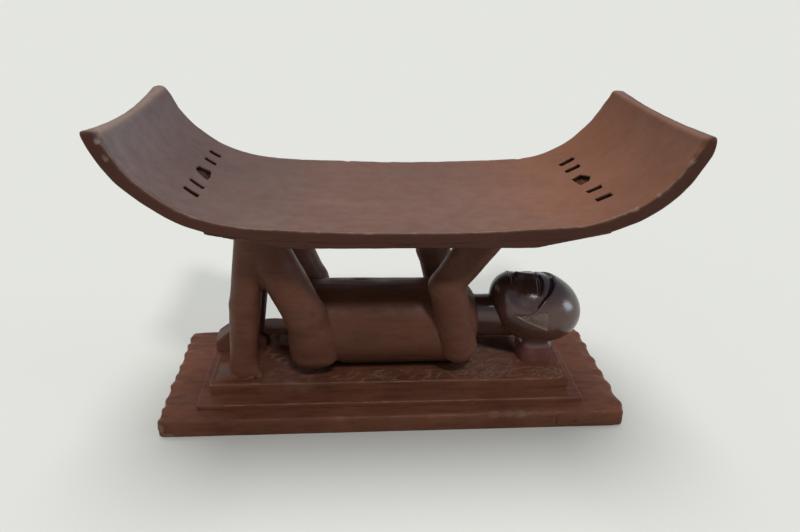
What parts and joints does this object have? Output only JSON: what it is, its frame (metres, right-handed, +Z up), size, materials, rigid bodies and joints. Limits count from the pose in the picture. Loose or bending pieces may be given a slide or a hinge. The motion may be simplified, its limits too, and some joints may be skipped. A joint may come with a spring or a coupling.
{
  "type": "carved wooden stool",
  "caption": "Ashanti-style carved stool: a dished seat that curves up at both ends, carried by a figure lying on its back on a stepped rectangular base.",
  "frame": {"origin": "on the floor, under the middle of the stool", "axes": "+X along the seat towards the figure's head, -Y towards the figure's left side, +Z up"},
  "size_m": [0.6008, 0.235, 0.3737],
  "materials": {
    "base": "satin",
    "seat": "satin",
    "figure": "satin",
    "head": "satin"
  },
  "bodies": {
    "root": {"base_middle_step": "base", "base_slab": "base", "base_top_step": "base", "head": "head", "head_rest": "base", "left_ear": "head", "left_foot": "figure", "left_forearm": "figure", "left_shin": "figure", "left_thigh": "figure", "left_upper_arm": "figure", "neck": "figure", "right_ear": "head", "right_foot": "figure", "right_forearm": "figure", "right_shin": "figure", "right_thigh": "figure", "right_upper_arm": "figure", "seat": "seat", "seat_underplate": "seat", "torso": "figure"}
  },
  "joints": []
}
